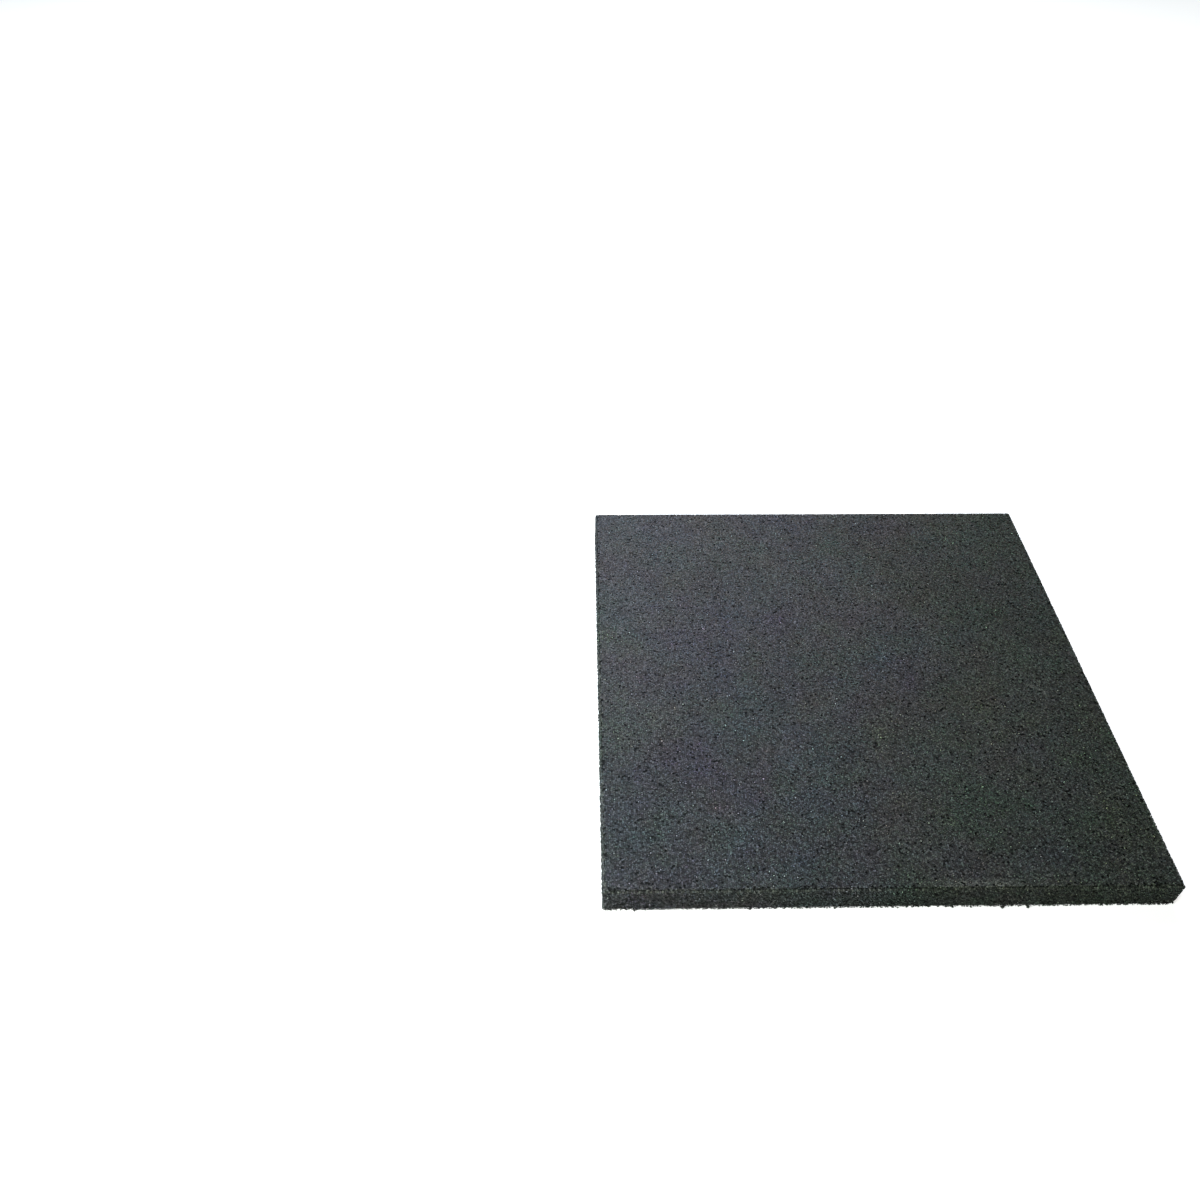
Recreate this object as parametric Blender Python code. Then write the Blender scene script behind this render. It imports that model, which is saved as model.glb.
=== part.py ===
"""Rubber safety tile: one square slab of bonded rubber crumb, pressed in a mould as a single piece.

The origin is at the centre of the flat underside, +Z is up, and -Y is the edge nearest the viewer.
"""

import math

import bmesh
import bpy

# Driving dimensions, in metres
TILE_SIDE = 0.500           # square side, measured at the outer walls
TILE_THICKNESS = 0.030      # underside to walking face
TOP_CHAMFER = 0.0025        # 45 degree chamfer around the walking face
CORNER_ROUNDING = 0.002     # how far each corner's rounding reaches, chamfers included
CORNER_SEGMENTS = 4         # flats along each rounded corner
UNDERSIDE_CHAMFER = 0.0005  # small break of the lower edge

RUBBER_COLOUR = (0.060, 0.066, 0.072, 1.0)
RUBBER_ROUGHNESS = 0.85
UNIT_CUBE = 1.0             # the cube that is scaled to the slab
FLAT_TOLERANCE = 1.0e-5     # how close to a plane an edge counts as lying in it
ROUND_PROFILE = 0.5         # a bevel of several segments follows an arc
SHARP_ANGLE = math.radians(30)


def clear_scene():
    """Removes what a new file starts with."""
    for old in list(bpy.data.objects):
        bpy.data.objects.remove(old)


def make_rubber():
    """Matt black rubber crumb in a polyurethane binder."""
    rubber = bpy.data.materials.new("rubber_crumb")
    rubber.use_nodes = True
    shader = rubber.node_tree.nodes["Principled BSDF"]
    shader.inputs["Base Color"].default_value = RUBBER_COLOUR
    shader.inputs["Roughness"].default_value = RUBBER_ROUGHNESS
    shader.inputs["Metallic"].default_value = 0.0
    return rubber


def edges_in_plane(mesh, height):
    """The edges that lie in the level plane at this height."""
    return [
        edge
        for edge in mesh.edges
        if all(abs(corner.co.z - height) < FLAT_TOLERANCE for corner in edge.verts)
    ]


def corner_edges(mesh):
    """The edges that climb each corner: the upright, and the mitre of each chamfer."""
    return [
        edge
        for edge in mesh.edges
        if abs(edge.verts[0].co.z - edge.verts[1].co.z) > FLAT_TOLERANCE
    ]


def bevel(mesh, edges, width, segments):
    """Bevels the edges by a width measured along each face beside them."""
    bmesh.ops.bevel(
        mesh,
        geom=edges,
        offset=width,
        offset_type="OFFSET",
        segments=segments,
        profile=ROUND_PROFILE,
        affect="EDGES",
        material=-1,
        clamp_overlap=True,
        loop_slide=True,
    )


def make_tile(rubber):
    """The slab: a box with a chamfer around each large face and corners rounded through both."""
    mesh = bmesh.new()
    bmesh.ops.create_cube(mesh, size=UNIT_CUBE)
    bmesh.ops.scale(mesh, vec=(TILE_SIDE, TILE_SIDE, TILE_THICKNESS), verts=mesh.verts)
    bmesh.ops.translate(mesh, vec=(0, 0, TILE_THICKNESS / 2), verts=mesh.verts)

    bevel(mesh, edges_in_plane(mesh, TILE_THICKNESS), TOP_CHAMFER, 1)
    bevel(mesh, edges_in_plane(mesh, 0.0), UNDERSIDE_CHAMFER, 1)
    bevel(mesh, corner_edges(mesh), CORNER_ROUNDING, CORNER_SEGMENTS)
    bmesh.ops.recalc_face_normals(mesh, faces=mesh.faces)

    data = bpy.data.meshes.new("rubber_tile")
    mesh.to_mesh(data)
    mesh.free()
    data.materials.append(rubber)
    data.shade_smooth()
    data.set_sharp_from_angle(angle=SHARP_ANGLE)
    return bpy.data.objects.new("rubber_tile", data)


def main():
    clear_scene()
    parts = bpy.data.collections.new("rubber_safety_tile")
    bpy.context.scene.collection.children.link(parts)
    parts.objects.link(make_tile(make_rubber()))


main()
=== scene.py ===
# %% [markdown]
# # A rubber safety tile, dressed in its own crumb
#
# The real tile is a square slab, pressed in a hot mould from crumbs of old tyres and a little
# glue. It is one piece, yet every face of it is a mosaic of many thousands of small grains. The
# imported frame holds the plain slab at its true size. This lesson gives it real crumbs on every
# face that shows, then a finish for each sort of crumb, and then the light of the photograph.

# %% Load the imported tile
import math
import random

import bmesh
import bpy
from mathutils import Matrix, Vector, noise


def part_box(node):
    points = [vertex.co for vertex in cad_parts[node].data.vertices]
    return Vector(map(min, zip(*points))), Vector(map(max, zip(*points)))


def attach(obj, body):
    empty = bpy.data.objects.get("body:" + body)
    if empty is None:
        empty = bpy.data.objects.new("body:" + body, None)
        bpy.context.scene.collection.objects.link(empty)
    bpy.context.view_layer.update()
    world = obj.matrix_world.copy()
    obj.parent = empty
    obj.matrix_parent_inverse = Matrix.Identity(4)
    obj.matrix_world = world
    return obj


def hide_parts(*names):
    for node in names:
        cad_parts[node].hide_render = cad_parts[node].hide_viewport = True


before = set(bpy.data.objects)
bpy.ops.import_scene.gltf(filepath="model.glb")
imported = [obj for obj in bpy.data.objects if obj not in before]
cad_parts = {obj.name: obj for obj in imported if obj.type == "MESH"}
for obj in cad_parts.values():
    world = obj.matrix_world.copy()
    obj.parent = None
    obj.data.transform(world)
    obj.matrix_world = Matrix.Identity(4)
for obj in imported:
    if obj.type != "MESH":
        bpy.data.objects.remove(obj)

MM = 0.001
NOISE_SEED = 5   # Blender's noise vectors start from the clock unless they are given a seed
noise.seed_set(NOISE_SEED)
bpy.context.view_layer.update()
tile_low, tile_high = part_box("rubber_tile")
HALF_SIDE = tile_high.x
THICKNESS = tile_high.z
print(f"tile: {2 * HALF_SIDE / MM:.0f} mm square, {THICKNESS / MM:.0f} mm thick")

# %% [markdown]
# ## The camera
#
# The tile was photographed from in front, a little to its left, and tipped not quite halfway
# down. Its four corners in the picture give the lens and the place. A level camera is turned
# by yaw, then pitch, then roll, in that order, so each number stays one that a person can check.

# %% Set the camera where the photographer stood
PHOTO_SIDE_PX = 1200
FOCAL_PX = 1010
SENSOR_MM = 36.0
CAMERA_PLACE = Vector((-0.266, -0.6835, 0.806))
PITCH_DOWN = math.radians(44.63)
YAW_RIGHT = math.radians(1.42)
ROLL = math.radians(0.71)

camera_data = bpy.data.cameras.new("photo_camera")
camera_data.sensor_width = SENSOR_MM
camera_data.lens = FOCAL_PX * SENSOR_MM / PHOTO_SIDE_PX
camera = bpy.data.objects.new("photo_camera", camera_data)
bpy.context.scene.collection.objects.link(camera)
camera.matrix_world = (
    Matrix.Translation(CAMERA_PLACE)
    @ Matrix.Rotation(-YAW_RIGHT, 4, "Z")
    @ Matrix.Rotation(math.pi / 2 - PITCH_DOWN, 4, "X")
    @ Matrix.Rotation(ROLL, 4, "Z")
)
bpy.context.scene.camera = camera
print(f"camera: {camera_data.lens:.1f} mm lens, {CAMERA_PLACE.length:.2f} m from the tile")

# %% [markdown]
# ## Cells before crumbs
#
# Pressed crumb is a mosaic in which no two grains are alike. Blender has no operator for such
# cells, but a brick wall is close: each brick touches six others, so bending its courses and
# nudging its corners gives uneven hexagons. A grid that loses every second upright edge is such
# a wall. Coarse and fine grains then come from joining some cells and halving others.

# %% Lay a flat sheet of cells
CELL = 2.0 * MM        # a usual cell, and so a usual crumb
BRICK_CORNERS = 6      # where a brick meets its six neighbours
COURSE = 0.9           # height of a course, in cells
ZIGZAG = 0.14          # how far a corner leaves its course, in cells
CORNER_NUDGE = 0.24    # the most that a corner moves by chance, in cells
RIM_NUDGE = 0.20       # the same for the corners on the sheet's rim
BEND_WAVE = 9 * MM     # from one bend of the courses to the next
BEND_REACH = 1.7 * MM  # how far a bend carries them
NOISE_SPAN = 90        # in bends, the range in which a sheet's noise may start
COARSE_SHARE = 0.07    # cells that join a neighbour
FINE_SHARE = 0.12      # cells that fall in two
UNIT_GRID = 0.5        # a grid of this size is one unit wide


def start_courses(width, height, cell):
    """Makes a grid with two squares a brick. Returns it with the size of its squares."""
    bricks = max(2, round(width / cell))
    courses = max(1, round(height / (COURSE * cell)))
    sheet = bmesh.new()
    bmesh.ops.create_grid(sheet, x_segments=2 * bricks, y_segments=courses, size=UNIT_GRID)
    bmesh.ops.scale(sheet, vec=(width, height, 1.0), verts=sheet.verts)
    return sheet, width / (2 * bricks), height / courses


def spare_uprights(sheet, width, height, across, up):
    """The upright edges to lose, every second one, staggered from course to course."""
    spare = []
    for edge in sheet.edges:
        foot, head = (corner.co for corner in edge.verts)
        if edge.is_boundary or abs(foot.x - head.x) > across / 2:
            continue
        column = round((foot.x + width / 2) / across)
        course = int(((foot.y + head.y) / 2 + height / 2) / up)
        if (column + course) % 2:
            spare.append(edge)
    return spare


def nudge(corner, most, dice):
    """Moves a corner by chance, at most that far."""
    turn = dice.uniform(0, math.tau)
    reach = most * math.sqrt(dice.random())
    corner.co.x += reach * math.cos(turn)
    corner.co.y += reach * math.sin(turn)


def bend_courses(sheet, width, height, across, up, cell, dice):
    """Zigzags the courses, bends them in slow waves and nudges each corner."""
    seed = Vector((dice.uniform(0, NOISE_SPAN), dice.uniform(0, NOISE_SPAN), 0))
    for corner in sheet.verts:
        if corner.is_boundary:
            nudge(corner, RIM_NUDGE * cell, dice)
            continue
        column = round((corner.co.x + width / 2) / across)
        course = round((corner.co.y + height / 2) / up)
        rim = min(width / 2 - abs(corner.co.x), height / 2 - abs(corner.co.y))
        bend = noise.noise_vector(corner.co / BEND_WAVE + seed) * BEND_REACH * min(1, rim / BEND_WAVE)
        corner.co.x += bend.x
        corner.co.y += bend.y + ZIGZAG * cell * (1 if (column + course) % 2 == 0 else -1)
        nudge(corner, CORNER_NUDGE * cell, dice)


def vary_sizes(sheet, dice):
    """Joins some neighbouring cells and halves some others."""
    used, joints = set(), []
    for face in list(sheet.faces):
        chance = dice.random()
        if face in used:
            continue
        if chance < COARSE_SHARE:
            edge = dice.choice(face.edges)
            others = [other for other in edge.link_faces if other is not face]
            if others and others[0] not in used:
                used.update((face, others[0]))
                joints.append(edge)
        elif chance < COARSE_SHARE + FINE_SHARE and len(face.verts) == BRICK_CORNERS:
            opposite = BRICK_CORNERS // 2
            start = dice.randrange(opposite)
            corners = list(face.verts)
            half, _ = bmesh.utils.face_split(face, corners[start], corners[start + opposite])
            used.update((face, half))
    bmesh.ops.dissolve_edges(sheet, edges=joints, use_verts=False)


def lay_cells(width, height, cell, dice):
    """A flat sheet of uneven cells, centred on the origin."""
    sheet, across, up = start_courses(width, height, cell)
    spare = spare_uprights(sheet, width, height, across, up)
    bend_courses(sheet, width, height, across, up, cell, dice)
    bmesh.ops.dissolve_edges(sheet, edges=spare, use_verts=False)
    vary_sizes(sheet, dice)
    return sheet


PATCH = 30 * MM
sample = lay_cells(PATCH, PATCH, CELL, random.Random(1))
print(f"a {PATCH / MM:.0f} mm patch holds {len(sample.faces)} cells")
sample.free()

# %% [markdown]
# ## Sorts of crumb
#
# The crumb comes from many tyres: some grains are jet black and shiny, others grey with age, and
# here and there sits a pale fleck of cord. A material slot for each grain on one huge mesh would
# do, but a mesh for each sort is lighter to handle. The sort is drawn while the sheet is still
# whole, so the sorts fit between one another as they do in the mould.

# %% Share the cells out among the sorts
SORTS = {
    "jet_crumb": 0.155,
    "soot_crumb": 0.223,
    "charcoal_crumb": 0.260,
    "slate_crumb": 0.212,
    "ash_crumb": 0.140,
    "cord_flecks": 0.010,
}
TONE = "tone"


def draw_sorts(sheet, dice):
    """Gives each cell a sort and a tone from 0 to 1, as unlike its neighbours' as two draws allow."""
    tone = sheet.faces.layers.float.new(TONE)
    numbers = range(len(SORTS))
    shares = list(SORTS.values())
    drawn = {}
    for face in sheet.faces:
        first, second = ((dice.choices(numbers, shares)[0], dice.random()) for _ in range(2))
        around = [drawn[other] for edge in face.edges for other in edge.link_faces if other in drawn]
        if around:
            middle = sum(around) / len(around)
            first = max(first, second, key=lambda draw: abs(sum(draw) - middle))
        face.material_index, face[tone] = first
        drawn[face] = sum(first)


CLUMP = 9 * MM      # from one clump of missing cells to the next
CLUMPING = 1.6      # how far the clumps depart from an even share


def tear_out(sheet, share, dice, where=None):
    """Leaves out about that share of the cells, in clumps, of the whole sheet or only of one zone."""
    torn = []
    for face in sheet.faces:
        middle = face.calc_center_median()
        if where is None or where(middle):
            here = share * (1 + CLUMPING * noise.noise(middle / CLUMP))
            if dice.random() < here:
                torn.append(face)
    bmesh.ops.delete(sheet, geom=torn, context="FACES")


def only_sort(sheet, number):
    """A copy of the sheet with the cells of one sort."""
    picked = sheet.copy()
    others = [face for face in picked.faces if face.material_index != number]
    bmesh.ops.delete(picked, geom=others, context="FACES")
    for face in picked.faces:
        face.material_index = 0
    return picked


# %% [markdown]
# ## A map for each sheet
#
# The finishes read places in space and need no map. A copy of the model for other programs does:
# the finish is painted on a picture there, and many thousands of loose crumbs would leave an
# automatic map nearly empty. The flat sheets are the best map there is. Each has its own part of
# the unit square, and a long strip is cut in four rows, one for each side of the tile.

# %% Write the flat places to the map
MAP_NAME = "OFBake"
FACE_ON_MAP = 0.78   # how much of the unit square's side the walking face takes
MAP_SCALE = FACE_ON_MAP / (2 * HALF_SIDE)
MAP_RIM = 0.01
SIDES = 4


def lay_map(sheet, bottom, row_length=0.0, row_height=0.0):
    """Copies the sheet's flat places to the map, from its lower left corner up."""
    layer = sheet.loops.layers.uv.new(MAP_NAME)
    left = min(corner.co.x for corner in sheet.verts)
    low = min(corner.co.y for corner in sheet.verts)
    for face in sheet.faces:
        row = 0
        if row_length:
            row = min(SIDES - 1, int((face.calc_center_median().x - left) / row_length))
        for loop in face.loops:
            spot = loop.vert.co
            u = MAP_RIM + (spot.x - left - row * row_length) * MAP_SCALE
            v = bottom + (spot.y - low + row * row_height) * MAP_SCALE
            loop[layer].uv = (u, v)


# %% [markdown]
# ## From cell to crumb
#
# A crumb is a shard: wide where the mould pressed it flat, and narrowing to a root inside the
# slab. Splitting all edges frees the cells. One extrusion that keeps the first faces makes a
# block of each, and one collapse of those first faces draws each block to a point. So a whole
# sheet becomes closed shards in two operators. Each top then sinks and leans a little by chance.

# %% Press the cells into crumbs
ROOT_DEPTH = 1.9 * MM   # how far a crumb reaches into the slab
SLAB_DEPTH = 1.0 * MM   # from the tops of the crumbs down to the slab's own skin
PIT_DEPTHS = (0.35, 0.85)   # of SLAB_DEPTH, for the crumbs that lie in a pit
TOP_SCALES = (0.94, 1.03)   # how much the tops of one sort differ in size


def press(sheet, dice, shrink, sink, lean, pits):
    """Makes closed crumbs of the cells, with their tops at z = 0 or a little lower.

    shrink scales a top, sink is the most that it lies low, lean is the usual slope of a top, and
    pits is the share of crumbs that lie much deeper.
    """
    bmesh.ops.split_edges(sheet, edges=sheet.edges)
    roots = list(sheet.faces)
    grown = bmesh.ops.extrude_face_region(sheet, geom=roots, use_keep_orig=True)["geom"]
    tops = [item for item in grown if isinstance(item, bmesh.types.BMFace)]
    for top in tops:
        centre = top.calc_center_median()
        low = sink * dice.random() ** 2
        if dice.random() < pits:
            low = SLAB_DEPTH * dice.uniform(*PIT_DEPTHS)
        lean_x, lean_y = dice.gauss(0, lean), dice.gauss(0, lean)
        scale = shrink * dice.uniform(*TOP_SCALES)
        for corner in top.verts:
            out = (corner.co - centre) * scale
            corner.co = centre + out
            corner.co.z = min(0.0, out.x * lean_x + out.y * lean_y - low)
    for root in roots:
        for corner in root.verts:
            corner.co.z = -ROOT_DEPTH
    root_edges = {edge for root in roots for edge in root.edges}
    bmesh.ops.collapse(sheet, edges=list(root_edges), uvs=False)
    bmesh.ops.recalc_face_normals(sheet, faces=sheet.faces)
    for face in sheet.faces:
        face.smooth = True


sample = lay_cells(PATCH, PATCH, CELL, random.Random(1))
press(sample, random.Random(2), shrink=0.9, sink=0.2 * MM, lean=0.1, pits=0.05)
open_edges = sum(not edge.is_manifold for edge in sample.edges)
print(f"the patch has {len(sample.faces)} faces, {open_edges} open edges")
sample.free()

# %% [markdown]
# ## Round the edge
#
# The walls and the small chamfer above them are long strips. Modelling four walls and their
# corners one by one would leave seams, so each strip is pressed flat, as long as the way round
# the tile, and then every point is moved: its length runs round the rounded square, its width
# climbs the wall or the chamfer, and its height becomes the distance outwards.

# %% Bend a strip round the tile
CORNER_RADIUS = 2.2 * MM
CHAMFER = 2.5 * MM
FOOT_BREAK = 0.5 * MM
STRAIGHT = 2 * (HALF_SIDE - CORNER_RADIUS)
QUARTER = STRAIGHT + CORNER_RADIUS * math.pi / 2
WAY_ROUND = SIDES * QUARTER


def round_the_tile(along, outset):
    """The point that far along the rounded square, moved outwards, starting behind the tile."""
    quarter, rest = divmod(along % WAY_ROUND, QUARTER)
    if rest < STRAIGHT:
        spot = Vector((rest - STRAIGHT / 2, -HALF_SIDE - outset, 0))
    else:
        turn = (rest - STRAIGHT) / CORNER_RADIUS - math.pi / 2
        reach = CORNER_RADIUS + outset
        middle = HALF_SIDE - CORNER_RADIUS
        spot = Vector((middle + reach * math.cos(turn), -middle + reach * math.sin(turn), 0))
    spot.rotate(Matrix.Rotation(math.pi + quarter * math.pi / 2, 3, "Z"))
    return spot


def wrap(sheet, foot_height, foot_outset, slope):
    """Bends a flat strip round the tile. Its width climbs, and leans inwards by slope."""
    climb, inwards = math.cos(slope), math.sin(slope)
    foot = min(corner.co.y for corner in sheet.verts)
    for corner in sheet.verts:
        along, up, out = corner.co.x, corner.co.y - foot, corner.co.z
        spot = round_the_tile(along + WAY_ROUND / 2, foot_outset - up * inwards + out * climb)
        corner.co = (spot.x, spot.y, foot_height + up * climb + out * inwards)


# %% [markdown]
# ## Press every face
#
# Three sheets cover what shows: the walking face, the walls, and the chamfer in two courses. The
# mould's plate and frame meet along the upper course, and crumb fills that corner badly. So much
# of that course is left out, and some of the face's outermost cells, and what remains is the
# dotted dark line that the photograph shows behind the front edge. A few crumbs are missing from
# the face and walls too.

# %% Lay the three sheets
SHEET_SEED = 47
WALL_HEIGHT = THICKNESS - CHAMFER - FOOT_BREAK
CHAMFER_WIDTH = CHAMFER * math.sqrt(2)
CREASE_RISE = 0.4 * MM   # how far the line between the chamfer's two courses lies above its middle
CREASE_TORN = 0.44       # share of the upper course that is missing
RIM_TORN = 0.16          # the same for the face's outermost cells
RIM_WIDTH = 1.8 * MM     # how far in they lie
FACE_TORN = 0.025        # the same for the walking face
WALL_TORN = 0.05         # the same for the walls
FACE_SIDE = 2 * (HALF_SIDE - CHAMFER)
STRIP_GAP = MM           # between two strips on the map
ROW_HEIGHT = WALL_HEIGHT + CHAMFER_WIDTH + 2 * STRIP_GAP
MAP_GAP = 0.005          # between the face and the strips, in map units
STRIPS_BOTTOM = MAP_RIM + FACE_SIDE * MAP_SCALE + MAP_GAP

dice = random.Random(SHEET_SEED)
face_cells = lay_cells(FACE_SIDE, FACE_SIDE, CELL, dice)
bmesh.ops.rotate(face_cells, matrix=Matrix.Rotation(math.pi / 2, 3, "Z"), verts=face_cells.verts)
wall_cells = lay_cells(WAY_ROUND, WALL_HEIGHT, CELL, dice)
chamfer_cells = lay_cells(WAY_ROUND, CHAMFER_WIDTH, CELL, dice)
lay_map(face_cells, MAP_RIM)
lay_map(wall_cells, STRIPS_BOTTOM, QUARTER, ROW_HEIGHT)
lay_map(chamfer_cells, STRIPS_BOTTOM + (WALL_HEIGHT + STRIP_GAP) * MAP_SCALE, QUARTER, ROW_HEIGHT)
for corner in chamfer_cells.verts:
    if not corner.is_boundary:
        corner.co.y += CREASE_RISE
for name, cells in (("face", face_cells), ("walls", wall_cells), ("chamfer", chamfer_cells)):
    draw_sorts(cells, dice)
    print(f"{name}: {len(cells.faces)} cells")


def on_face_rim(middle):
    """Whether a cell of the face lies along its rim."""
    return max(abs(middle.x), abs(middle.y)) > FACE_SIDE / 2 - RIM_WIDTH


def on_upper_course(middle):
    """Whether a cell of the chamfer lies in its upper course."""
    return middle.y > CREASE_RISE


tear_out(face_cells, FACE_TORN, dice)
tear_out(face_cells, RIM_TORN, dice, where=on_face_rim)
tear_out(wall_cells, WALL_TORN, dice)
tear_out(chamfer_cells, CREASE_TORN, dice, where=on_upper_course)

# %% Press the crumb of each sort
def join_into(whole, part):
    """Adds one bmesh to another and frees it."""
    passing = bpy.data.meshes.new("passing")
    part.to_mesh(passing)
    part.free()
    whole.from_mesh(passing)
    bpy.data.meshes.remove(passing)


def press_sort(number, small, dice):
    """All crumbs of one sort, in their places on the tile. small scales their tops."""
    crumbs = only_sort(face_cells, number)
    press(crumbs, dice, shrink=0.88 * small, sink=0.22 * MM, lean=0.12, pits=0.07)
    bmesh.ops.translate(crumbs, vec=(0, 0, THICKNESS), verts=crumbs.verts)

    walls = only_sort(wall_cells, number)
    press(walls, dice, shrink=0.76 * small, sink=0.60 * MM, lean=0.38, pits=0.20)
    wrap(walls, FOOT_BREAK, 0.0, 0.0)
    join_into(crumbs, walls)

    chamfer = only_sort(chamfer_cells, number)
    press(chamfer, dice, shrink=0.86 * small, sink=0.35 * MM, lean=0.22, pits=0.08)
    wrap(chamfer, THICKNESS - CHAMFER, 0.0, math.pi / 4)
    join_into(crumbs, chamfer)
    return crumbs


SHARP_ANGLE = math.radians(50)
FLECK_SCALE = 0.6   # a fleck of cord is smaller than the crumb whose place it takes


def add_piece(name, mesh):
    """Makes an object of a bmesh, with its place in its mesh, and lets it ride on the tile."""
    data = bpy.data.meshes.new(name)
    mesh.to_mesh(data)
    mesh.free()
    data.set_sharp_from_angle(angle=SHARP_ANGLE)
    piece = bpy.data.objects.new(name, data)
    bpy.context.scene.collection.objects.link(piece)
    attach(piece, "root")
    triangles = sum(len(face.vertices) - 2 for face in data.polygons)
    print(f"{name}: {triangles} triangles")
    return piece


pieces = {}
for number, name in enumerate(SORTS):
    small = FLECK_SCALE if name == "cord_flecks" else 1.0
    pieces[name] = add_piece(name, press_sort(number, small, dice))
for cells in (face_cells, wall_cells, chamfer_cells):
    cells.free()

# %% [markdown]
# ## The slab that holds them
#
# Under its pressed skin the tile is the same crumb, bound in dark glue. Only slits and pits let
# it show, and the plain underside. The glue is painted darker than any crumb, as painted shade
# for the deep slits and pits. A box would fill the corners that are rounded on the tile, so its
# brim and foot are bevelled like the tile's own, one skin's depth further in, and then its
# corners, so that one rounding runs up through both chamfers.

# %% Model the slab
SLAB_SIDE = 2 * (HALF_SIDE - SLAB_DEPTH)
SLAB_TOP = THICKNESS - SLAB_DEPTH
CORNER_SEGMENTS = 4
LEVEL = 0.1 * MM   # two heights closer than this count as one


def make_slab():
    """The bonded slab, which stands on the floor and stays a skin's depth inside the tile."""
    slab = bmesh.new()
    bmesh.ops.create_cube(slab, size=1.0)
    bmesh.ops.scale(slab, vec=(SLAB_SIDE, SLAB_SIDE, SLAB_TOP), verts=slab.verts)
    bmesh.ops.translate(slab, vec=(0, 0, SLAB_TOP / 2), verts=slab.verts)
    for height, width in ((SLAB_TOP, CHAMFER), (0.0, FOOT_BREAK)):
        rim = [e for e in slab.edges if all(abs(v.co.z - height) < LEVEL for v in e.verts)]
        bmesh.ops.bevel(
            slab, geom=rim, offset=width, offset_type="OFFSET",
            segments=1, profile=0.5, affect="EDGES", material=-1,
        )
    corners = [e for e in slab.edges if abs(e.verts[0].co.z - e.verts[1].co.z) > LEVEL]
    bmesh.ops.bevel(
        slab, geom=corners, offset=CORNER_RADIUS - SLAB_DEPTH, offset_type="OFFSET",
        segments=CORNER_SEGMENTS, profile=0.5, affect="EDGES", material=-1, loop_slide=True,
    )
    bmesh.ops.recalc_face_normals(slab, faces=slab.faces)
    return slab


pieces["bonded_slab"] = add_piece("bonded_slab", make_slab())
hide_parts("rubber_tile")

# %% [markdown]
# ## Flash along the foot
#
# Where the mould closed, some crumb was squeezed out and tore off, so the lower edge is ragged,
# with a few lumps that stick out. Small crumpled icospheres do it: twenty faces each are enough
# for a shard of a millimetre or two, and a squeeze and a turn by chance make each one different.

# %% Scatter the flash
LUMPS_MM = (   # place along the front edge, and radius
    (-222, 1.4), (-122, 1.3), (-48, 1.3), (7, 1.2), (55, 1.3), (71, 1.4), (99, 2.1), (121, 1.9),
)
LUMP_HEIGHT_MM = 0.8
FLASH_COUNT = 1800
FLASH_RADII = (0.55 * MM, 1.0 * MM)
FLASH_OUTSETS_MM = (-0.25, 0.2)
FLASH_HEIGHTS_MM = (0.3, 1.3)
SHARD_WIDTHS = (0.6, 0.9)       # the middle reach of a shard, of its longest
SHARD_DEPTHS = (0.5, 0.8)       # its shortest reach
CRUMPLE = (0.75, 1.15)          # how far each corner is drawn in or out
CLEARANCE = 0.05 * MM           # the least height of a corner above the floor
SLOT_SHARE = 0.4                # how much of its slot on the map a shard's radius takes
SLOTS = math.ceil(math.sqrt(FLASH_COUNT + len(LUMPS_MM)))   # a row of slots on the map


def add_shard(mesh, number, spot, radius, dice):
    """Adds one crumpled shard at that place, with its own tone and its own slot on the map."""
    axis = Vector((dice.gauss(0, 1), dice.gauss(0, 1), 1))
    turn = Matrix.Rotation(dice.uniform(0, math.tau), 4, axis)
    squeeze = Matrix.Diagonal((1, dice.uniform(*SHARD_WIDTHS), dice.uniform(*SHARD_DEPTHS), 1))
    made = bmesh.ops.create_icosphere(
        mesh, subdivisions=1, radius=radius, matrix=Matrix.Translation(spot) @ turn @ squeeze
    )
    for corner in made["verts"]:
        corner.co = spot + (corner.co - spot) * dice.uniform(*CRUMPLE)
        corner.co.z = max(CLEARANCE, corner.co.z)
    tone, layer = mesh.faces.layers.float[TONE], mesh.loops.layers.uv[MAP_NAME]
    slot = Vector((number % SLOTS + 0.5, number // SLOTS + 0.5)) / SLOTS
    shade = dice.random()
    for face in {face for corner in made["verts"] for face in corner.link_faces}:
        face[tone] = shade
        face.smooth = True
        for loop in face.loops:
            loop[layer].uv = slot + (loop.vert.co - spot).xy * SLOT_SHARE / (SLOTS * radius)


def make_flash(dice):
    """Ragged crumb all along the foot, with a few lumps where the photograph shows them."""
    flash = bmesh.new()
    flash.faces.layers.float.new(TONE)
    flash.loops.layers.uv.new(MAP_NAME)
    for number in range(FLASH_COUNT):
        radius = dice.uniform(*FLASH_RADII)
        spot = round_the_tile(dice.uniform(0, WAY_ROUND), dice.uniform(*FLASH_OUTSETS_MM) * MM)
        spot.z = dice.uniform(*FLASH_HEIGHTS_MM) * MM
        add_shard(flash, number, spot, radius, dice)
    for number, (place, radius) in enumerate(LUMPS_MM, FLASH_COUNT):
        spot = Vector((place, -HALF_SIDE / MM - radius / 2, LUMP_HEIGHT_MM)) * MM
        add_shard(flash, number, spot, radius * MM, dice)
    return flash


pieces["foot_flash"] = add_piece("foot_flash", make_flash(dice))

# %% [markdown]
# ## Finishes, step one: what the sorts share
#
# All the crumb has the same few effects at different strengths, so each effect is a node group:
# a grain's own tone, the faint casts of colour that drift over the slab with a painted light and
# shade from left to right, dust and wear, and a fine relief. A group puts out colours, masks and
# heights only. The shader stays in each material, where its plain numbers can be set on its own
# sockets.

# %% Helpers for node trees
def find_socket(node, key):
    """A node's input, by its number as in i0, or by its name with _ for a space."""
    if key[0] == "i" and key[1:].isdigit():
        return node.inputs[int(key[1:])]
    return node.inputs[key.replace("_", " ")]


def feed(tree, socket, value):
    """Links an input to another node's output, or sets its number or colour."""
    if isinstance(value, bpy.types.NodeSocket):
        tree.links.new(value, socket)
    else:
        socket.default_value = value


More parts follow.
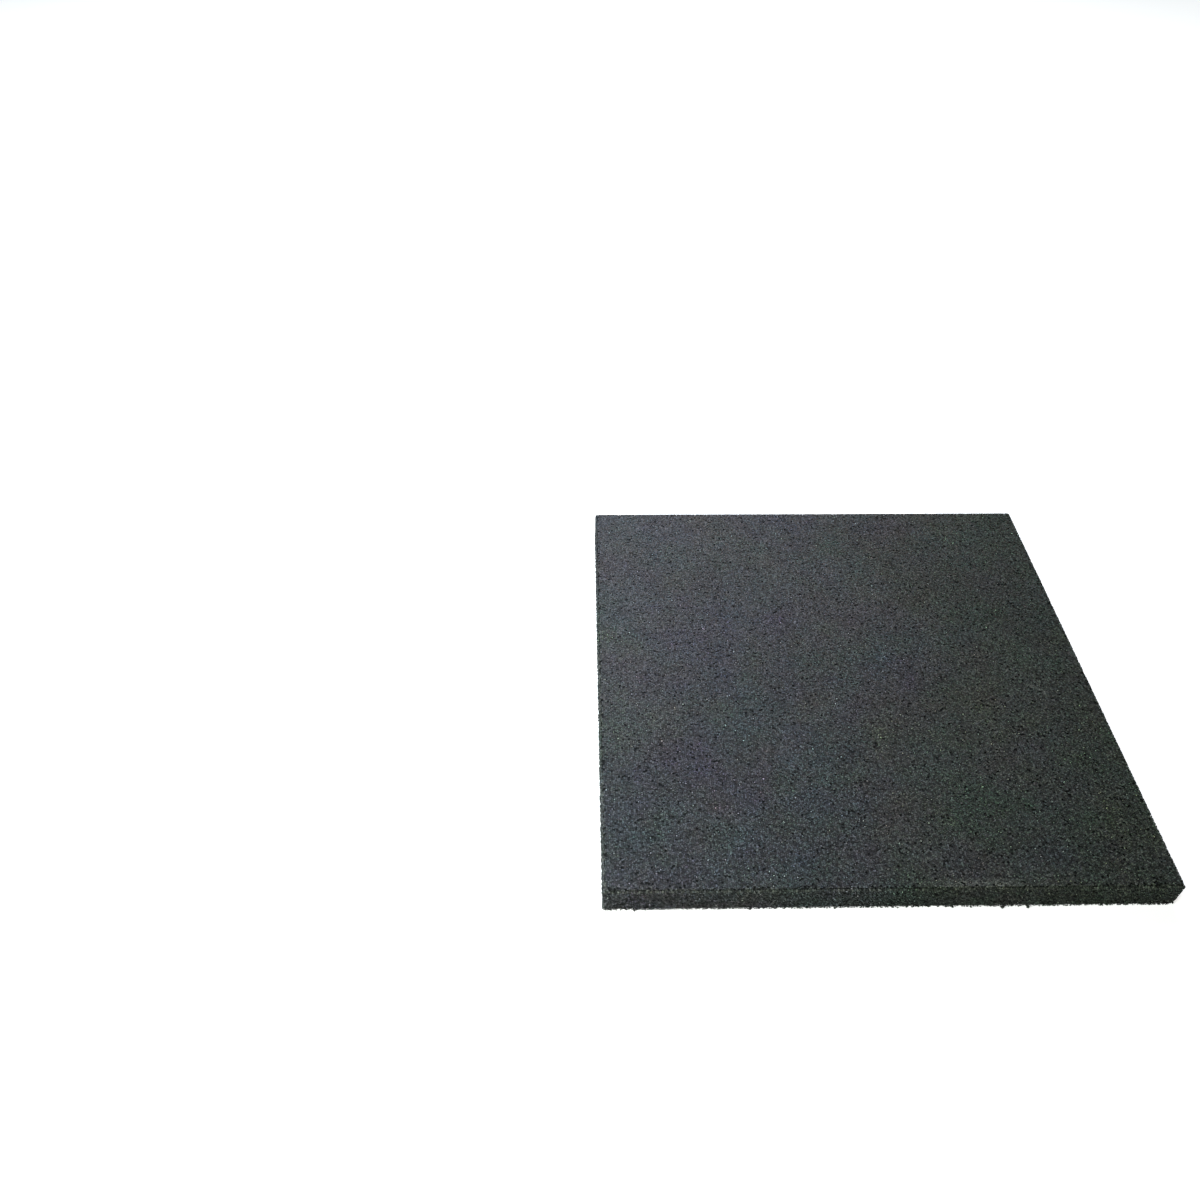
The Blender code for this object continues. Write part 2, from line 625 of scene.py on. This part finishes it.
def place_node(tree, kind, settings=None, **inputs):
    """Adds a node, with its settings, and feeds its inputs."""
    made = tree.nodes.new(kind)
    for name, value in (settings or {}).items():
        setattr(made, name, value)
    for key, value in inputs.items():
        feed(tree, find_socket(made, key), value)
    return made


def new_group(name, inputs, outputs):
    """Starts a node group. Returns its tree, its input sockets by name and its output node."""
    tree = bpy.data.node_groups.new(name, "ShaderNodeTree")
    kinds = {"color": "NodeSocketColor", "value": "NodeSocketFloat"}
    for socket_name, (kind, value) in inputs.items():
        socket = tree.interface.new_socket(socket_name, in_out="INPUT", socket_type=kinds[kind])
        socket.default_value = value
    for socket_name, kind in outputs.items():
        tree.interface.new_socket(socket_name, in_out="OUTPUT", socket_type=kinds[kind])
    start = tree.nodes.new("NodeGroupInput")
    end = tree.nodes.new("NodeGroupOutput")
    return tree, start.outputs, end.inputs


def maths(tree, operation, first, second=0.0, third=0.0, clamp=False):
    """A Math node's result."""
    settings = {"operation": operation, "use_clamp": clamp}
    return place_node(tree, "ShaderNodeMath", settings, i0=first, i1=second, i2=third).outputs[0]


def mix_colours(tree, blend, factor, first, second):
    """A Mix node's colour."""
    settings = {"data_type": "RGBA", "blend_type": blend}
    return place_node(tree, "ShaderNodeMix", settings, i0=factor, i6=first, i7=second).outputs[2]


def soft_step(tree, value, start, end):
    """0 below start, 1 above end, and smooth between. It runs backwards where end is lower."""
    made = place_node(
        tree, "ShaderNodeMapRange", {"interpolation_type": "SMOOTHSTEP"},
        Value=value, From_Min=start, From_Max=end,
    )
    return made.outputs["Result"]


def object_noise(tree, scale, detail=2.0, roughness=0.5, colour=False):
    """Noise on the piece's own coordinates, in cycles a metre."""
    spot = tree.nodes.new("ShaderNodeTexCoord").outputs["Object"]
    made = place_node(
        tree, "ShaderNodeTexNoise", Vector=spot, Scale=scale, Detail=detail, Roughness=roughness
    )
    return made.outputs["Color" if colour else "Fac"]


# %% Group: a grain's own tone
CRUMB_GREY = (0.03, 0.03, 0.03, 1)   # what a group starts from until a material says otherwise
MOTTLE_SCALE = 900.0        # in cycles a metre, so a spot or two on each grain
MOTTLE_EDGES = (0.35, 0.65)
HUE_SHUFFLE = 977.0         # far apart, so that near tones don't get near hues


def grain_tone_group():
    """Lightens or darkens each grain by its own tone, and tints it a little."""
    tree, start, end = new_group(
        "grain_tone",
        {
            "Colour": ("color", CRUMB_GREY), "Spread": ("value", 0.3),
            "Tint": ("value", 0.1), "Mottle": ("value", 0.5),
        },
        {"Colour": "color", "Tone": "value"},
    )
    tone = place_node(tree, "ShaderNodeAttribute", {"attribute_name": TONE}).outputs["Fac"]
    swing = maths(tree, "MULTIPLY_ADD", tone, 2.0, -1.0)
    light = maths(tree, "MULTIPLY_ADD", swing, start["Spread"], 1.0)
    specks = soft_step(tree, object_noise(tree, MOTTLE_SCALE, detail=1.0), *MOTTLE_EDGES)
    specks = maths(tree, "MULTIPLY_ADD", specks, 2.0, -1.0)
    light = maths(tree, "MULTIPLY", light, maths(tree, "MULTIPLY_ADD", specks, start["Mottle"], 1.0))
    grey = place_node(tree, "ShaderNodeCombineColor", i0=light, i1=light, i2=light).outputs[0]
    shuffled = maths(tree, "MULTIPLY", tone, HUE_SHUFFLE)
    hue = place_node(
        tree, "ShaderNodeTexWhiteNoise", {"noise_dimensions": "1D"}, W=shuffled
    ).outputs["Color"]
    doubled = mix_colours(tree, "ADD", 1.0, hue, hue)
    toned = mix_colours(tree, "MULTIPLY", 1.0, start["Colour"], grey)
    tinted = mix_colours(tree, "MULTIPLY", start["Tint"], toned, doubled)
    tree.links.new(tinted, end["Colour"])
    tree.links.new(tone, end["Tone"])
    return tree


# %% Group: casts of colour that drift over the slab, and painted light and shade across it
BROAD_SCALE = 11.0                    # in cycles a metre
PATCHY_SCALE = 34.0
CAST_GAIN = (3.2, 3.2, 3.2)           # noise keeps near its middle, so it is stretched
CAST_SHIFT = (-0.6, -0.6, -0.6)
# Painted light and shade, fixed to the slab: a cool gleam on the left, and a darker, greener shade on
# the right, where less of the window's light falls.
LEFT_PAINTED_LIGHT = (1.03, 1.0, 1.08, 1)      # painted light: a shade bluer on the left
RIGHT_PAINTED_SHADE = (0.71, 0.84, 0.61, 1)    # painted shade: darker and greener on the right
PAINTED_SHADE_FROM_TO = (-0.04, 0.18)         # where the painted shade starts and where it is full, in metres along the slant, before noise bends the line
PAINTED_SHADE_SLANT = -0.25                   # how much of y counts beside x
SHADE_LINE_SCALE = 7.0
SHADE_LINE_BEND = 0.3                       # how far the noise carries the line, in metres


def cast_and_painted_shade_group():
    """Bluish, greenish and brownish casts, a hand's breadth across, that fade into one another, times
    painted light and shade: bluer on the left, darker and greener on the right.
    """
    tree, start, end = new_group(
        "drifting_cast_painted_light_and_shade",
        {"Colour": ("color", CRUMB_GREY), "Strength": ("value", 0.5)},
        {"Colour": "color"},
    )
    broad = object_noise(tree, BROAD_SCALE, detail=1.0, colour=True)
    patchy = object_noise(tree, PATCHY_SCALE, detail=2.0, colour=True)
    both = mix_colours(tree, "MIX", 0.5, broad, patchy)
    stretched = place_node(
        tree, "ShaderNodeVectorMath", {"operation": "MULTIPLY_ADD"},
        i0=both, i1=CAST_GAIN, i2=CAST_SHIFT,
    ).outputs[0]
    cast = mix_colours(tree, "MULTIPLY", start["Strength"], start["Colour"], stretched)
    # From here on the group paints light and shade. Along a slanting line that noise bends, the colour
    # turns from the bluer left to the darker, greener right, and it is multiplied in at full strength,
    # whatever the Strength.
    spot = tree.nodes.new("ShaderNodeTexCoord").outputs["Object"]
    parts = place_node(tree, "ShaderNodeSeparateXYZ", Vector=spot).outputs
    across = maths(tree, "MULTIPLY_ADD", parts[1], PAINTED_SHADE_SLANT, parts[0])
    bends = object_noise(tree, SHADE_LINE_SCALE, detail=1.0)
    shift = maths(tree, "MULTIPLY_ADD", bends, SHADE_LINE_BEND, -SHADE_LINE_BEND / 2)
    right = soft_step(tree, maths(tree, "ADD", across, shift), *PAINTED_SHADE_FROM_TO)
    ends = mix_colours(tree, "MIX", right, LEFT_PAINTED_LIGHT, RIGHT_PAINTED_SHADE)
    tree.links.new(mix_colours(tree, "MULTIPLY", 1.0, cast, ends), end["Colour"])
    return tree


# %% Group: dust and wear
DUST_COLOUR = (0.19, 0.19, 0.165, 1)
DUST_BAND = ((74 * MM, -247.0 * MM), (54 * MM, 9.0 * MM))    # middle and reach of the dusty stretch
SCUFF = ((191 * MM, -26.5 * MM), (12 * MM, 2.8 * MM))      # middle and reach of the short scuff
SCUFF_TURN = math.radians(-26)
SCUFF_GRAIN = (0.7, 0.25)      # what the scuff gains on the grains that took it, and keeps elsewhere
BAND_GRAIN = (0.75, 0.07)      # the same for the dusty stretch
GRAIN_SCALE = 620.0            # in cycles a metre
GRAIN_EDGES = (0.42, 0.68)
DRIFT_SCALE = 9.0
DRIFT_EDGES = (0.40, 0.75)
ARRIS = (-4.2 * MM, -2.7 * MM)   # where the worn arris starts and is at its full, from the sharp edge
MARK_EDGES = (1.0, 0.3)        # where a mark is gone, and where it is whole, in reaches
MARK_DEPTH = 1.7 * MM          # how far below the face a mark reaches, so not down the chamfer
SCUFF_END = ((198.5 * MM, -32.5 * MM), (2.2 * MM, 4.5 * MM))   # the blob in which it ends


def spot_mask(tree, spot, middle, reach, turn=0.0):
    """1 in the middle of an oval on the walking face, falling to 0 at its rim."""
    moved = place_node(
        tree, "ShaderNodeMapping", {"vector_type": "TEXTURE"},
        Vector=spot, Location=(*middle, THICKNESS), Rotation=(0, 0, turn), Scale=(*reach, MARK_DEPTH),
    ).outputs[0]
    far = place_node(tree, "ShaderNodeVectorMath", {"operation": "LENGTH"}, i0=moved).outputs["Value"]
    return soft_step(tree, far, *MARK_EDGES)


def dust_group():
    """Pale dust: a thin film in drifts, a worn arris, and the marks that this tile has; keeping the film
    off the walls is partly painted shade.
    """
    tree, start, end = new_group(
        "dust_and_wear",
        {
            "Colour": ("color", CRUMB_GREY), "Dust": ("color", DUST_COLOUR),
            "Film": ("value", 0.1), "Marks": ("value", 0.5), "Arris": ("value", 0.3),
        },
        {"Colour": "color", "Mask": "value"},
    )
    spot = tree.nodes.new("ShaderNodeTexCoord").outputs["Object"]
    grains = soft_step(tree, object_noise(tree, GRAIN_SCALE, detail=2.0), *GRAIN_EDGES)
    drifts = soft_step(tree, object_noise(tree, DRIFT_SCALE, detail=4.0), *DRIFT_EDGES)
    parts = place_node(tree, "ShaderNodeSeparateXYZ", Vector=spot).outputs
    # The film lies only on the walking face and the top of the chamfer, so the walls stay darker: dust,
    # and in part painted shade for walls that get less light than the face.
    lying = soft_step(tree, parts[2], THICKNESS - 3 * MM, THICKNESS - MM)
    film = maths(tree, "MULTIPLY", maths(tree, "MULTIPLY", drifts, grains), start["Film"])
    film = maths(tree, "MULTIPLY", film, lying)
    scuff = spot_mask(tree, spot, *SCUFF, SCUFF_TURN)
    scuff = maths(tree, "MAXIMUM", scuff, spot_mask(tree, spot, *SCUFF_END))
    scuff = maths(tree, "MULTIPLY", scuff, maths(tree, "MULTIPLY_ADD", grains, *SCUFF_GRAIN))
    band = spot_mask(tree, spot, *DUST_BAND)
    band = maths(tree, "MULTIPLY", band, maths(tree, "MULTIPLY_ADD", grains, *BAND_GRAIN))
    marks = maths(tree, "MULTIPLY", maths(tree, "MAXIMUM", scuff, band), start["Marks"])
    side = maths(tree, "MAXIMUM", maths(tree, "ABSOLUTE", parts[0]), maths(tree, "ABSOLUTE", parts[1]))
    beyond = maths(tree, "SUBTRACT", side, HALF_SIDE)
    above = maths(tree, "SUBTRACT", parts[2], THICKNESS)
    brim = soft_step(tree, maths(tree, "ADD", beyond, above), *ARRIS)
    worn = maths(tree, "MULTIPLY", maths(tree, "MULTIPLY", brim, grains), start["Arris"])
    mask = maths(tree, "MAXIMUM", maths(tree, "MAXIMUM", film, marks), worn)
    tree.links.new(mix_colours(tree, "MIX", mask, start["Colour"], start["Dust"]), end["Colour"])
    tree.links.new(mask, end["Mask"])
    return tree


# %% Group: the fine relief of cut rubber
FACET_SCALE = 900.0     # in cycles a metre
GRIT_SCALE = 2600.0


def cut_relief_group():
    """Heights of cut rubber: small facets, and a finer roughness on them."""
    tree, start, end = new_group(
        "cut_relief",
        {"Facets": ("value", 1.0), "Grit": ("value", 0.5)},
        {"Height": "value"},
    )
    spot = tree.nodes.new("ShaderNodeTexCoord").outputs["Object"]
    facets = place_node(tree, "ShaderNodeTexVoronoi", Vector=spot, Scale=FACET_SCALE).outputs["Distance"]
    grit = object_noise(tree, GRIT_SCALE, detail=3.0, roughness=0.6)
    grit = maths(tree, "MULTIPLY", grit, start["Grit"])
    height = maths(tree, "MULTIPLY_ADD", facets, start["Facets"], grit)
    tree.links.new(height, end["Height"])
    return tree


GROUPS = {
    "tone": grain_tone_group(),
    "cast": cast_and_painted_shade_group(),
    "dust": dust_group(),
    "relief": cut_relief_group(),
}
print("node groups:", ", ".join(tree.name for tree in GROUPS.values()))

# %% [markdown]
# ## Finishes, step two: one rubber for each sort
#
# The sorts differ in tone, in how evenly their grains share it, and in how dull and dusty they
# are. One function builds the rubber from the groups, and a table gives each sort its numbers.
# The darkest crumb is new rubber and takes little dust, the palest is old and takes most.

# %% Build the rubbers
DUST_ROUGHNESS = 0.4       # how much duller dust makes a crumb
RELIEF_DEPTH = 0.15 * MM


def use_group(tree, key, **inputs):
    """Places one of the shared groups in a material."""
    return place_node(tree, "ShaderNodeGroup", {"node_tree": GROUPS[key]}, **inputs).outputs


def rubber(name, colour, spread, rough, shine, film, arris, bump):
    """A crumb rubber. rough is its roughness at the darkest and at the lightest tone."""
    finish = bpy.data.materials.new(name)
    finish.use_nodes = True
    tree = finish.node_tree
    shader = tree.nodes["Principled BSDF"]
    shader.inputs["Specular IOR Level"].default_value = shine
    grain = use_group(tree, "tone", Colour=(*colour, 1), Spread=spread, Tint=0.08, Mottle=0.75)
    # The cast group also paints light and shade: a little bluer on the left, darker and greener on the
    # right.
    cast = use_group(tree, "cast", Colour=grain["Colour"], Strength=0.34)
    dusty = use_group(tree, "dust", Colour=cast["Colour"], Film=film, Marks=0.85, Arris=arris)
    tree.links.new(dusty["Colour"], shader.inputs["Base Color"])
    gloss = place_node(
        tree, "ShaderNodeMapRange", Value=grain["Tone"], To_Min=rough[0], To_Max=rough[1]
    ).outputs["Result"]
    rougher = maths(tree, "MULTIPLY_ADD", dusty["Mask"], DUST_ROUGHNESS, gloss, clamp=True)
    tree.links.new(rougher, shader.inputs["Roughness"])
    height = use_group(tree, "relief", Facets=1.0, Grit=0.5)["Height"]
    raised = place_node(tree, "ShaderNodeBump", Strength=bump, Distance=RELIEF_DEPTH, Height=height)
    tree.links.new(raised.outputs["Normal"], shader.inputs["Normal"])
    return finish


FINISHES = {
    "jet_crumb": dict(
        colour=(0.012, 0.013, 0.014), spread=0.3, rough=(0.50, 0.70), shine=0.32,
        film=0.05, arris=0.15, bump=0.5,
    ),
    "soot_crumb": dict(
        colour=(0.018, 0.020, 0.020), spread=0.3, rough=(0.55, 0.80), shine=0.38,
        film=0.10, arris=0.20, bump=0.6,
    ),
    "charcoal_crumb": dict(
        colour=(0.025, 0.028, 0.029), spread=0.3, rough=(0.50, 0.75), shine=0.48,
        film=0.12, arris=0.30, bump=0.6,
    ),
    "slate_crumb": dict(
        colour=(0.035, 0.040, 0.042), spread=0.3, rough=(0.50, 0.75), shine=0.48,
        film=0.14, arris=0.40, bump=0.5,
    ),
    "ash_crumb": dict(
        colour=(0.050, 0.055, 0.057), spread=0.3, rough=(0.55, 0.80), shine=0.48,
        film=0.20, arris=0.50, bump=0.7,
    ),
    "cord_flecks": dict(
        colour=(0.19, 0.20, 0.20), spread=0.6, rough=(0.60, 0.80), shine=0.50,
        film=0.0, arris=0.0, bump=0.5,
    ),
    "foot_flash": dict(
        colour=(0.034, 0.037, 0.036), spread=0.5, rough=(0.50, 0.80), shine=0.45,
        film=0.0, arris=0.0, bump=0.7,
    ),
}
for name, look in FINISHES.items():
    pieces[name].data.materials.append(rubber(name + "_rubber", **look))
    print(f"{name}: finished")

# %% [markdown]
# ## The underside
#
# Inside the slab nothing but dark glue and rubber shows between the crumbs, and the glue's colour
# is darker than any crumb, as painted shade for the deep slits and pits. Its underside is pressed
# against the mould's bed, so the same mosaic of crumbs shows there. Nobody sees it on a laid tile,
# and real crumbs would double the model, so a Voronoi pattern draws them: one texture gives each
# cell its tone, and a second one the distance to its rim, for the slits between.

# %% Finish the slab
# Dark glue, and painted shade: darker than any crumb, it stands for the shade deep in the slits and pits
# where the slab shows.
BINDER_AND_SLIT_SHADE = (0.006, 0.0065, 0.007, 1)
UNDERSIDE_DARK = (0.010, 0.011, 0.012, 1)
UNDERSIDE_PALE = (0.060, 0.066, 0.070, 1)
CELLS_A_METRE = 480.0
SLIT_EDGES = (0.02, 0.14)            # from the middle of a slit to where a crumb is whole
UNDERSIDE = (0.8 * MM, 0.3 * MM)     # above this height the pattern is gone, and below it is whole


def slab_rubber():
    """Dark bonded rubber, painted darker than any crumb as shade for the slits and pits, with a mosaic
    of crumbs on its underside.
    """
    finish = bpy.data.materials.new("bonded_slab_rubber")
    finish.use_nodes = True
    tree = finish.node_tree
    shader = tree.nodes["Principled BSDF"]
    shader.inputs["Roughness"].default_value = 0.6
    shader.inputs["Specular IOR Level"].default_value = 0.25
    spot = tree.nodes.new("ShaderNodeTexCoord").outputs["Object"]
    cells = place_node(tree, "ShaderNodeTexVoronoi", Vector=spot, Scale=CELLS_A_METRE)
    rims = place_node(
        tree, "ShaderNodeTexVoronoi", {"feature": "DISTANCE_TO_EDGE"}, Vector=spot, Scale=CELLS_A_METRE
    )
    whole = soft_step(tree, rims.outputs["Distance"], *SLIT_EDGES)
    tone = place_node(tree, "ShaderNodeSeparateColor", Color=cells.outputs["Color"]).outputs[0]
    mosaic = mix_colours(tree, "MIX", tone, UNDERSIDE_DARK, UNDERSIDE_PALE)
    mosaic = mix_colours(tree, "MIX", whole, BINDER_AND_SLIT_SHADE, mosaic)
    height_above_floor = place_node(tree, "ShaderNodeSeparateXYZ", Vector=spot).outputs[2]
    below = soft_step(tree, height_above_floor, *UNDERSIDE)
    shown = mix_colours(tree, "MIX", below, BINDER_AND_SLIT_SHADE, mosaic)
    # The cast group also paints light and shade: a little bluer on the left, darker and greener on the
    # right.
    cast = use_group(tree, "cast", Colour=shown, Strength=0.3)
    tree.links.new(cast["Colour"], shader.inputs["Base Color"])
    facets = use_group(tree, "relief", Facets=1.0, Grit=0.5)["Height"]
    height = maths(tree, "MULTIPLY_ADD", whole, 1.5, facets)
    raised = place_node(tree, "ShaderNodeBump", Strength=0.8, Distance=0.2 * MM, Height=height)
    tree.links.new(raised.outputs["Normal"], shader.inputs["Normal"])
    return finish


pieces["bonded_slab"].data.materials.append(slab_rubber())
print("bonded_slab: finished")

# %% [markdown]
# ## Light and floor
#
# The photograph has a plain white ground and soft light, mostly from a window behind the tile and
# to its left: the far left corner gleams faintly blue and the near right corner is darker. Here
# that window is one large cool panel, with a weaker warm one beside it. A small low panel lights
# the front wall from the left, and a faint sky fills the shadows. The floor is nearly white, and
# glows a little for the camera alone, so its shadow stays as faint as the photograph's. In the
# same way the sky is a pale wall to the camera alone, for the views that look above the floor.

# %% Set the studio
FLOOR_REACH = 12
FLOOR_GLOW = 0.70
FILL_COLOUR = (0.8, 1.0, 0.8, 1)
FILL_STRENGTH = 0.1
BACKDROP_COLOUR = (0.70, 0.70, 0.70, 1)

floor_mesh = bmesh.new()
bmesh.ops.create_grid(floor_mesh, x_segments=1, y_segments=1, size=FLOOR_REACH)
floor_data = bpy.data.meshes.new("studio_floor")
floor_mesh.to_mesh(floor_data)
floor_mesh.free()
floor = bpy.data.objects.new("studio_floor", floor_data)
bpy.context.scene.collection.objects.link(floor)
paint = bpy.data.materials.new("floor_paint")
paint.use_nodes = True
painted = paint.node_tree
coat = painted.nodes["Principled BSDF"].inputs
coat["Base Color"].default_value = (0.80, 0.80, 0.80, 1)
coat["Roughness"].default_value = 0.9
coat["Emission Color"].default_value = (1, 1, 1, 1)
seen = place_node(painted, "ShaderNodeLightPath").outputs["Is Camera Ray"]
painted.links.new(maths(painted, "MULTIPLY", seen, FLOOR_GLOW), coat["Emission Strength"])
floor_data.materials.append(paint)


def soft_lamp(name, place, aim, size, power, colour):
    """A square area lamp at that place, turned to its aim."""
    data = bpy.data.lights.new(name, "AREA")
    data.shape = "SQUARE"
    data.size = size
    data.energy = power
    data.color = colour
    lamp = bpy.data.objects.new(name, data)
    bpy.context.scene.collection.objects.link(lamp)
    away = (Vector(place) - Vector(aim)).to_track_quat("Z", "Y")
    lamp.matrix_world = Matrix.Translation(place) @ away.to_matrix().to_4x4()
    return lamp


soft_lamp("sky_window", (-0.75, 1.7, 1.75), (-0.2, 0.1, 0.0), 1.2, 71.0, (0.64, 0.80, 1.0))
soft_lamp("back_panel", (0.0, 1.9, 1.5), (-0.1, 0.1, 0.0), 1.2, 23.0, (1.0, 0.74, 0.60))
soft_lamp("edge_panel", (-0.95, -0.75, 0.45), (-0.1, -0.25, 0.0), 0.5, 19.5, (0.90, 1.0, 0.88))

world = bpy.data.worlds.new("studio")
bpy.context.scene.world = world
world.use_nodes = True
sky = world.node_tree
backdrop = sky.nodes["Background"].inputs
seen = place_node(sky, "ShaderNodeLightPath").outputs["Is Camera Ray"]
sky.links.new(mix_colours(sky, "MIX", seen, FILL_COLOUR, BACKDROP_COLOUR), backdrop["Color"])
sky.links.new(maths(sky, "MULTIPLY_ADD", seen, 1.0 - FILL_STRENGTH, FILL_STRENGTH), backdrop["Strength"])
bpy.context.scene.view_settings.view_transform = "Standard"
